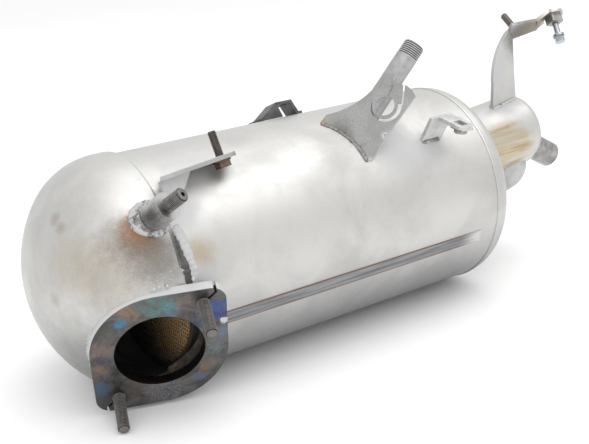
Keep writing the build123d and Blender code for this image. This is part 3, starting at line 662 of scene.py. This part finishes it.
def raw_plate():
    """Raw plate with fine speckle, tinted at the foot's left end; its edges are sprayed white."""
    f = Finish("raw_plate")
    speck = f.grain(0.6, 4, 0.8)
    tone = f.mix(f.span(speck, 0.32, 0.68), (0.25, 0.25, 0.25), (0.42, 0.42, 0.415))
    tone = f.mix(f.span(f.grain(16, 4, 0.6), 0.4, 0.66, 0, 0.5), tone, (0.25, 0.245, 0.235))
    tone = f.mix(f.product(f.spot(on_horn(16, 0), 17, 0.9, 0.7), 0.75), tone, (0.13, 0.128, 0.125))
    tone = f.mix(f.product(f.spot(on_horn(0, 0), 7, 0.9, 1.2), 0.8), tone, (0.42, 0.26, 0.11))
    across = f.math("ABSOLUTE", f.along(on_horn(0, 0, -horn_thickness / 2), horn_normal))
    paint = f.product(f.within(across, 1.15, 1.22), f.span(f.grain(8, 4, 0.6), 0.32, 0.42))
    for x, y, radius in ((45.5, 22, 4), (49, 0, 5)):
        paint = f.most(paint, f.spot(on_horn(x, y), radius, 0.6, 0.8))
    tone = f.mix(paint, tone, PAINT)
    f.set(tone, f.blend(paint, 0.5, 0.6), f.blend(paint, 0.75, 0.2))
    f.relief((speck, 0.06),)
    return f.material


def tube_finish():
    """Sensor tube: sprayed pale, with painted shade in the roots of its thread."""
    f = Finish("tube_steel")
    cloud = f.grain(6, 5, 0.7)
    tone = f.mix(f.span(cloud, 0.35, 0.65), (0.33, 0.33, 0.33), (0.42, 0.42, 0.42))
    reach = f.reach_from(tube_end, tube_axis)
    upper = f.span(f.along(tube_end, tube_axis), -(tube_thread + 0.5) * MM, -tube_thread * MM)
    root = f.product(upper, f.within(reach, tube_radius - 0.6, tube_radius - 0.15))
    tone = f.mix(f.product(upper, 0.8), tone, PAINT)
    # Painted shade in the roots of the thread.
    tone = f.mix(f.product(root, 0.8), tone, (0.07, 0.065, 0.06))
    tone = f.mix(f.within(reach, tube_bore + 0.1, tube_bore + 0.4), tone, (0.05, 0.045, 0.04))
    f.set(tone, f.span(cloud, 0.3, 0.7, 0.4, 0.52), 0.6)
    f.relief((f.grain(1.0, 5, 0.7), 0.04),)
    return f.material


def seam_finish():
    """Flat weld band: blue-grey scale with thin brown edges, fading out towards the end cap."""
    f = Finish("seam_steel")
    low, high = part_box("shell_seam")
    rise = f.along(Vector((0, 0, low[2])), Z / (high[2] - low[2]))
    streak = f.grain(3, 5, 0.7, stretch=(0.05, 1, 1))
    tone = f.mix(f.span(streak, 0.35, 0.65), (0.165, 0.17, 0.18), (0.31, 0.315, 0.325))
    edge = f.most(f.span(rise, 0.14, 0.02), f.span(rise, 0.86, 0.98))
    line = f.span(f.math("ABSOLUTE", f.math("SUBTRACT", rise, 0.4)), 0.06, 0.02)
    tone = f.mix(f.product(edge, 0.85), tone, (0.22, 0.13, 0.085))
    tone = f.mix(f.product(line, 0.45), tone, (0.15, 0.148, 0.145))
    ragged = f.product(f.math("SUBTRACT", streak, 0.5), 50 * MM)
    fading = f.math("ADD", f.along(Vector((high[0], 0, 0)), X), ragged)
    tone = f.mix(f.span(fading, -24 * MM, -2 * MM, 0, 0.95), tone, PALE_STEEL)
    f.set(tone, 0.42, 0.9)
    f.relief((streak, 0.08), (f.grain(1.0, 4, 0.7), 0.05))
    return f.material


def comb_finish():
    """Honeycomb with rusty walls, lit only in a painted pool of light; outside it and deeper into the cells
    it is painted shade, near black.
    """
    f = Finish("catalyst_ceramic")
    tone = f.mix(f.span(f.grain(12, 3, 0.5), 0.35, 0.65), (0.46, 0.25, 0.09), (0.42, 0.29, 0.15))
    tone = f.mix(f.span(f.grain(1.2, 4, 0.7), 0.5, 0.72, 0, 0.5), tone, (0.2, 0.11, 0.05))
    rim = f.span(f.reach_from(rel(0, 0, 0), X), 71.5 * MM, 72.5 * MM)
    tone = f.mix(rim, tone, (0.03, 0.024, 0.02))
    # Painted pool of light: outside this spot the brick's face is painted shade, near black.
    tone = f.mix(f.spot(comb_light_pool_centre, 82, 0.85, 0.3), (0.02, 0.018, 0.016), tone)
    # Painted shade, darker deeper into the cells.
    cell_shade = f.span(f.along(comb_light_pool_centre, X), 0.2 * MM, 0.9 * MM)
    tone = f.mix(cell_shade, tone, (0.012, 0.009, 0.007))
    f.set(tone, 0.85, 0.0)
    f.relief((f.grain(0.7, 4, 0.7), 0.05),)
    return f.material


cap_finish = steel_sheet(
    "cap_steel",
    [
        (boss_spot + mm(-30, 2, -32), 36, (0.34, 0.29, 0.23), 0.55),
        (boss_spot + mm(-20, 4, -12), 24, (0.22, 0.185, 0.15), 0.8),
        (boss_spot + mm(-5, -10, -21), 32, (0.17, 0.148, 0.128), 0.95),
        (boss_spot + mm(-8, -2, -10), 19, (0.17, 0.115, 0.075), 0.9),
        (boss_spot + mm(-11, 1, -5), 15, (0.25, 0.115, 0.045), 0.95),
        (boss_spot + mm(-50, 20, -24), 34, STRAW, 0.3),
        # Painted shade: this wide grey patch darkens the dome's lower front.
        (rel(-42, -48, -48), 62, (0.27, 0.27, 0.26), 0.7),
        (rel(-48, -19, 53), 7, SMUDGE, 0.6),
        (rel(-48, -28, 49), 6, SMUDGE, 0.55),
        (rel(-61, -32, 4), 7, (0.38, 0.33, 0.28), 0.5),
    ],
    [
        (boss_spot + mm(9, -1, -9), 13, 0.85),
        (boss_spot + mm(9, -2, -27), 12, 0.9),
        (on_flange(-8, 47, 12), 9, 0.6),
        (on_flange(26, 47, 12), 11, 0.8),
        (on_flange(-36, 31, 12), 8, 0.5),
    ],
    sooty=True,
)
shell_finish = steel_sheet(
    "shell_steel",
    [
        (on_can(24, 18), 17, STRAW, 0.75),
        (on_can(27, 11), 9, RUST, 0.45),
        (on_can(206, 46), 26, GREY_STEEL, 0.5),
        (on_can(160, 50), 30, GREY_STEEL, 0.45),
    ],
    [
        (on_can(20, 40), 22, 0.85),
        (on_can(44, 62), 26, 0.5),
        (on_can(205, 45), 30, 0.7),
        (on_can(233, 40), 20, 0.75),
        (on_can(14, -4), 14, 0.8),
        (on_can(25, 8), 13, 0.8),
    ],
    sooty=True,
)
# Painted shade: the ring weld is painted near black along the crevice beside the pad; its white spot is
# real paint.
crevice_shade = (0.045, 0.042, 0.04)
ring_metal = steel_sheet(
    "ring_steel",
    [(on_can(8, 18), 12, crevice_shade, 1.0), (on_can(8, 26), 14, crevice_shade, 1.0)],
    [(on_can(12, 6), 9, 0.9)],
)
boss_shadow = (0.03, 0.027, 0.025)
boss_metal = steel_sheet(
    "boss_steel",
    [
        (boss_spot + mm(-4.6, -7.2, 2.7), 11, boss_shadow, 1.0),
        (boss_spot + boss_axis * 7 * MM + mm(-4.6, -7.2, 2.2), 10, boss_shadow, 0.9),
        (boss_spot + boss_axis * 13 * MM + mm(-3, -8, -1), 6, (0.08, 0.06, 0.05), 0.8),
    ],
    [
        (boss_spot + boss_axis * 4 * MM + mm(10, -2, -6), 7, 0.9),
        (boss_spot + boss_axis * 6 * MM + mm(-6, 2, 8), 9, 0.6),
    ],
    (0.58, 0.58, 0.575), 0.45,
)
hook_metal = steel_sheet(
    "hook_steel",
    [
        (hook_start + mm(3, -4, -4), 28, (0.06, 0.05, 0.043), 1.0),
        (hook_start + mm(16, -6, 2), 22, (0.18, 0.155, 0.13), 0.9),
        (rel(402, -10, 118), 22, STRAW, 0.2),
    ],
    [(rel(352, -14, 90), 22, 0.8)],
    (0.56, 0.555, 0.54), 0.4,
)
weld_metal = weld_finish("weld_steel", 0.35)
weld_white = weld_finish("weld_painted", 0.85)
weld_dark = weld_finish("weld_dark", 0.05)
plate = raw_plate()
mat_fibre = plain_finish("fibre_mat", (0.7, 0.67, 0.6), 0.95, 0.0, 1.0, 0.3)

looks = {
    "inlet_flange": flange_finish(),
    "inlet_cap": cap_finish,
    "shell": shell_finish,
    "end_cap": shell_finish,
    "cap_ring_weld": ring_metal,
    "flange_weld": weld_white,
    "shell_seam": seam_finish(),
    "catalyst_mat": mat_fibre,
    "filter_mat": mat_fibre,
    "filter_brick": ceramic_finish("filter_ceramic", (0.42, 0.4, 0.36), (0.3, 0.28, 0.25)),
    "mat_ring": plain_finish("wire_steel", (0.35, 0.33, 0.3), 0.5, 0.9),
    "end_ring_weld": shell_finish,
    "outlet_drum": drum_streaks(),
    "drum_cap": steel_sheet("drum_steel", (), [(rel(350, -14, 55), 14, 0.8)]),
    "end_port": plain_finish("pipe_steel", (0.33, 0.32, 0.31), 0.26, 1.0, 3.5, 0.08, 0.4),
    "outlet_pipe": plain_finish("outlet_steel", (0.48, 0.48, 0.475), 0.5, 0.5, 3.0, 0.08, 0.1),
    "pressure_boss": boss_metal,
    "boss_weld": weld_metal,
    "strip_bracket": steel_sheet("strip_steel", (), [(strip_foot, 24, 0.95)], (0.46, 0.46, 0.455), 0.42),
    "horn_plate": plate,
    "tube_weld": weld_metal,
    "tab_bracket": plain_finish("painted_bracket", (0.54, 0.54, 0.535), 0.5, 0.35),
    "tab_clip": plain_finish("clip_steel", (0.34, 0.335, 0.33), 0.42, 0.8),
    "rear_bracket": plain_finish("rear_steel", (0.12, 0.12, 0.12), 0.42, 0.8, 2.0, 0.05, 0.3),
    "hook_bracket": hook_metal,
    "cage_nut": plain_finish("cage_nut_steel", (0.36, 0.345, 0.32), 0.4, 0.9),
    "eye_screw": plain_finish("zinc_screw", (0.40, 0.42, 0.45), 0.2, 1.0),
}
for key, material in looks.items():
    nodes[key].data.materials.clear()
    nodes[key].data.materials.append(material)

# Plates and pressed pieces get softened edges.
for key in (
    "inlet_flange", "horn_plate", "strip_bracket", "tab_bracket", "hook_bracket", "rear_bracket",
    "pressure_boss", "cage_nut", "end_ring_weld",
):
    weld = nodes[key].modifiers.new("weld", "WELD")
    weld.merge_threshold = 0.01 * MM
    edge = nodes[key].modifiers.new("edge", "BEVEL")
    edge.width = 0.35 * MM
    edge.segments = 2
    edge.limit_method = "ANGLE"
    edge.angle_limit = radians(40)
    edge.harden_normals = True

# ---------------------------------------------------------------- threaded pieces
M6_PITCH = 1.0
M8_PITCH = 1.25
SENSOR_PITCH = 1.5

stud_angle = 49.5
stud_reach = mounts["inlet_studs"]["dims"]["pcd_mm"] / 2
stud_radius = mounts["inlet_studs"]["dims"]["stud_r_mm"]
stud_plain_radius = 4.5
stud_total = 29 + flange_thickness
studs, stud_rods = [], []
for turn in (0, 180):
    a = radians(stud_angle + turn)
    foot = on_flange(stud_reach * cos(a), stud_reach * sin(a), flange_thickness)
    rod = (foot, inlet_axis, stud_radius, stud_total, M8_PITCH)
    stud_rods.append(rod)
    studs.append(threaded_rod("inlet_stud", *rod, flange_thickness, stud_plain_radius))
dress(joined(*studs), fastener_finish("stud_steel", stud_rods), "inlet_studs")

bolt_mount = mounts["bracket_bolt"]
bolt_axis = Vector(bolt_mount["axis"]).normalized()
bolt_past_strip = bolt_mount["dims"]["length_mm"] + 0.6
bolt_in_strip = 3
bolt_plain_radius = 3.5
bolt_flange_radius = 6.6
bolt_flange_thickness = 1.3
bolt_head_radius = 5.77
bolt_head_height = 4
bolt_total = bolt_past_strip + bolt_in_strip
bolt_seat = Vector(bolt_mount["pos_m"]) - bolt_axis * (bolt_past_strip / 2 + bolt_in_strip) * MM
bolt_rod = (bolt_seat, bolt_axis, bolt_mount["dims"]["r_mm"], bolt_total, M6_PITCH)
head_seat = bolt_seat - bolt_axis * bolt_flange_thickness * MM
bolt = joined(
    threaded_rod("bolt", *bolt_rod, bolt_in_strip, bolt_plain_radius),
    prism("bolt_flange", bolt_seat, -bolt_axis, bolt_flange_radius, bolt_flange_thickness, 32),
    prism("bolt_head", head_seat, -bolt_axis, bolt_head_radius, bolt_head_height, 6),
)
bolt_finish = fastener_finish("bolt_steel", [bolt_rod], (0.1, 0.08, 0.068), (0.2, 0.125, 0.085), 0.25)
dress(bolt, bolt_finish, "strip_bolt")

nipple_in_boss = 8
nipple_plain_radius = 4.2
nipple_bore = 1.6
nipple_foot = boss_top - boss_axis * nipple_in_boss * MM
nipple_rod = (nipple_foot, boss_axis, nipple_radius, nipple_length + nipple_in_boss, M8_PITCH)
nipple = threaded_rod("nipple", *nipple_rod, nipple_in_boss, nipple_plain_radius, nipple_bore)
nipple_metal = fastener_finish("nipple_steel", [nipple_rod], (0.10, 0.098, 0.093), (0.26, 0.255, 0.24))
dress(nipple, nipple_metal, "pressure_nipple")

arm_rod = (hook_start, hook_axis, hook_mount["dims"]["r_mm"], hook_length, M6_PITCH)
arm_stud_metal = fastener_finish("arm_stud_steel", [arm_rod], (0.24, 0.22, 0.18), (0.38, 0.35, 0.28), 0.4)
dress(threaded_rod("arm_stud", *arm_rod, 1), arm_stud_metal, "hook_stud")

tube_reach = max((tube_end - v.co).dot(tube_axis) for v in nodes["sensor_tube"].data.vertices) / MM
tube_rod = (tube_end - tube_axis * tube_reach * MM, tube_axis, tube_radius, tube_reach, SENSOR_PITCH)
tube = threaded_rod("tube", *tube_rod, tube_reach - tube_thread, tube_radius, tube_bore, tube_bore_depth)
dress(tube, tube_finish(), "sensor_tube")

# ---------------------------------------------------------------- honeycomb of the first brick
brick_centre = (Vector(brick_low) + Vector(brick_high)) / 2
brick_reach = (brick_high[1] - brick_low[1]) / 2 / MM
cell_pitch = 3.2
cell_wall = 0.9
cell_depth = 6.0
rim_width = 3
rim_set_back = 0.1


def honeycomb():
    """The first brick, its front face a grid of fine square cells."""
    points, faces = [], []
    front = Vector((brick_low[0], brick_centre.y, brick_centre.z))
    steps = int(brick_reach / cell_pitch)
    half, hole = cell_pitch / 2, (cell_pitch - cell_wall) / 2
    corners = ((-1, -1), (1, -1), (1, 1), (-1, 1))
    for row in range(-steps, steps + 1):
        for column in range(-steps, steps + 1):
            if sqrt(row ** 2 + column ** 2) * cell_pitch > brick_reach - cell_pitch:
                continue
            base = len(points)
            y, z = row * cell_pitch, column * cell_pitch
            for size, x in ((half, 0.0), (hole, 0.0), (hole, cell_depth)):
                points += [front + mm(x, y + u * size, z + v * size) for u, v in corners]
            faces += band(base + 4, base, 4) + band(base + 8, base + 4, 4)
            faces.append((base + 11, base + 10, base + 9, base + 8))
    turns = 96
    base = len(points)
    brick_length = (brick_high[0] - brick_low[0]) / MM
    inner_reach = brick_reach - rim_width
    for x, r in ((rim_set_back, inner_reach), (rim_set_back, brick_reach), (brick_length, brick_reach)):
        points += [round_point(front, (X, Y, Z), x, r, j / turns) for j in range(turns)]
    faces += band(base + turns, base, turns) + band(base + 2 * turns, base + turns, turns)
    faces.append(tuple(base + 2 * turns + j for j in range(turns)))
    return piece("honeycomb", points, faces, False)


dress(honeycomb(), comb_finish(), "catalyst_brick")


# ---------------------------------------------------------------- weld beads
def beside_pad(angle):
    """How far behind the skirt the neck's pad ends."""
    pad_reach = 64
    around = radians(angle - cutout_angle) * shell_radius
    return 4.8 + 6.5 * sqrt(max(0, 1 - (around / pad_reach) ** 2))


def beside_ring(angle):
    """How far behind the skirt the crevice between ring weld and pad runs."""
    return 5 - 1.9 * (angle - 5) / 24


def over_ring(angle):
    """The crevice's rise where it crosses the ring weld's bend."""
    return 2.2 * exp(-((angle - 14) / 3) ** 2)


# A dark bead in the crevice between ring weld and pad is painted shade for that valley.
crevice_shade_finish = plain_finish("crevice_painted_shade", (0.09, 0.086, 0.08), 0.6, 0.3)
crevice_path = cap_path(60, 5, 29, beside_ring, over_ring)
dress(bead("crevice_shade_bead", crevice_path, 5.0, 0.5, 5.0, 0.2), crevice_shade_finish)
dress(bead("pad_bead", cap_path(120, 2, 33, beside_pad), 6.4, 1.2, 3.8, 0.25), weld_white)

flange_back = []
flange_bead_reach = 43.5
flange_bead_depth = flange_thickness + 1.2
for i in range(200):
    a = radians(-35 + 260 * i / 199)
    place = on_flange(flange_bead_reach * cos(a), flange_bead_reach * sin(a), flange_bead_depth)
    spoke = inlet_level * cos(a) + inlet_rise * sin(a)
    flange_back.append((place, (spoke - inlet_axis * 0.3).normalized()))
dress(bead("flange_bead", flange_back, 6.0, 3.4, 3.2, 0.45), weld_white)

# Spatter on the dome, as x, y, z and radius, and lumps along the flange's top, as x, y and radius.
spatter = []
for x, y, z, radius in (
    (-23, -76, 18, 0.8), (-19, -77, 18.5, 0.5), (-14, -79, 16, 0.8), (-9.7, -80.5, 16.5, 0.6),
    (-4.5, -81, 17, 0.7), (-0.7, -81.5, 15, 0.8), (3, -82, 14.4, 0.6), (-28, -73, 18.5, 0.5),
    (-7, -80, 20, 0.45), (0, -81, 20, 0.5),
):
    hit, normal = seat(rel(x, y - 20, z), Y)
    if hit:
        spatter.append((hit, radius))
for x, y, radius in (
    (-21, 43.4, 2.2), (-18.5, 45, 1.6), (-15, 46, 2.0), (-11, 46.2, 1.4), (-3, 47.4, 1.9),
    (0.5, 48, 2.2), (4, 48.6, 1.6), (9, 49.3, 1.3), (26, 51.8, 1.4),
):
    spatter.append((on_flange(x, y, flange_thickness - 1.4), radius))
dress(drops("spatter", spatter), weld_white)

boss_bead_reach = 10.8
boss_path = ring_path(boss_top, boss_axis, boss_bead_reach, 10)
boss_bead = bead("boss_bead", boss_path, 4.6, 2.3, 1.7, 0.4, closed=True)
dress(boss_bead, weld_finish("boss_weld_steel", 0.62))


def line_bead(name, start, end, direction, lean, size, ripple, uneven, material):
    """A straight bead that drops from a line onto the surface; size is its width and height."""
    path = line_path(start, end, direction, lean)
    dress(bead(name, path, *size, ripple, uneven), material)


# The horn plate's foot has a bead in front and one behind, each from left to right along the foot.
horn_drop = 20
for name, in_front, left, right, lean, size, ripple, uneven, material in (
    ("horn_bead", 0.8, 0, 48, 0.8, (3.4, 1.6), 1.8, 0.35, weld_dark),
    ("horn_bead_back", -3.4, 2, 47, -0.8, (3.6, 1.8), 2.3, 0.4, weld_metal),
):
    above = horn_foot_left + horn_normal * in_front * MM + horn_up * (horn_drop * MM)
    start, stop = above + horn_across * (left * MM), above + horn_across * (right * MM)
    line_bead(name, start, stop, -horn_up, horn_normal * lean, size, ripple, uneven, material)

# The horn plate's left ear, which rises beside the tube.
ear_outline = (
    (14, 44), (13.7, 57), (15.4, 60), (18, 61.9), (20.5, 62.8), (21.7, 58), (20.8, 55.8), (23, 52.4),
)
ear = [on_horn(x, y, level) for level in (0.0, -horn_thickness) for x, y in ear_outline]
count = len(ear_outline)
ear_faces = [tuple(range(count)), tuple(reversed(range(count, 2 * count)))] + band(count, 0, count)
dress(piece("horn_ear", ear, ear_faces, False), plate)

tab_lean = Vector((0, -0.375, 0.927))
tab_width = 17
tab_start = tab_foot + tab_lean * 10 * MM + mm(0, -0.6, 0)
line_bead("tab_bead", tab_start, tab_start + mm(tab_width, 0, 0), -tab_lean, (0, -0.6, 0),
          (3.0, 1.6), 2.0, 0.4, weld_metal)

# The hook bracket's blade stands on the drum between a bead in front and one behind.
blade_width = 31
blade_run = Vector((0.991, 0.134, 0))
blade_face = Vector((0.134, -0.991, 0))
blade_left = rel(348.6, -14.6, 66)
for name, in_front, lean, material in (
    ("hook_bead", 0.6, 0.6, weld_white), ("hook_bead_back", -3.6, -0.6, weld_metal),
):
    start = blade_left + blade_face * in_front * MM
    stop = start + blade_run * blade_width * MM
    line_bead(name, start, stop, -Z, blade_face * lean, (3.0, 1.5), 2.2, 0.35, material)

# ---------------------------------------------------------------- stage
floor_level = size_loaded[0].z
bpy.ops.mesh.primitive_plane_add(size=8, location=(0.15, 0.5, floor_level))
floor = bpy.context.active_object
floor.name = "floor"
ground = Finish("floor_pale")
ground.set(ground.mix(ground.grain(300, 3, 0.5), (0.92, 0.92, 0.92), (0.94, 0.94, 0.94)), 0.7, 0.0)
floor.data.materials.append(ground.material)


def soft_light(name, place, target, width, height, power):
    data = bpy.data.lights.new(name, "AREA")
    data.shape = "RECTANGLE"
    data.size, data.size_y = width, height
    data.energy = power
    lamp = bpy.data.objects.new(name, data)
    lamp.location = place
    lamp.rotation_mode = "QUATERNION"
    lamp.rotation_quaternion = (target - place).to_track_quat("-Z", "Y")
    bpy.context.scene.collection.objects.link(lamp)


middle = rel(150, 0, 0)
soft_light("overhead", middle + Vector((0.5, -0.45, 1.9)), middle, 2.4, 2.0, 20)
soft_light("front", middle + Vector((-1.3, -1.5, 1.0)), middle, 2.2, 1.4, 7)

# A white surround, a little dimmer from below than from above.
world = bpy.data.worlds.new("studio")
bpy.context.scene.world = world
world.use_nodes = True
sky = world.node_tree
background = sky.nodes["Background"]
background.inputs["Color"].default_value = (1, 1, 1, 1)
direction = sky.nodes.new("ShaderNodeTexCoord")
height = sky.nodes.new("ShaderNodeSeparateXYZ")
sky.links.new(direction.outputs["Generated"], height.inputs[0])
fade = sky.nodes.new("ShaderNodeMapRange")
for socket, value in zip(list(fade.inputs)[1:5], (-0.1, 0.8, 0.86, 1.04)):
    socket.default_value = value
sky.links.new(height.outputs["Z"], fade.inputs["Value"])
sky.links.new(fade.outputs[0], background.inputs["Strength"])

# ---------------------------------------------------------------- camera
# Place, direction and lens as fitted to the photograph.
eye = mm(-243.6, -556.6, 270.3)
right = Vector((0.8261, -0.5579, -0.0794)).normalized()
forward = Vector((0.5137, 0.8035, -0.3009)).normalized()
up = right.cross(forward).normalized()
right = forward.cross(up)
camera_data = bpy.data.cameras.new("camera")
camera_data.sensor_width = 36
camera_data.lens = 61.1
camera_data.clip_start, camera_data.clip_end = 0.01, 30
camera = bpy.data.objects.new("camera", camera_data)
turn = Matrix((right, up, -forward)).transposed()
camera.matrix_world = Matrix.Translation(eye) @ turn.to_4x4()
bpy.context.scene.collection.objects.link(camera)
bpy.context.scene.camera = camera
bpy.context.scene.view_settings.view_transform = "Standard"
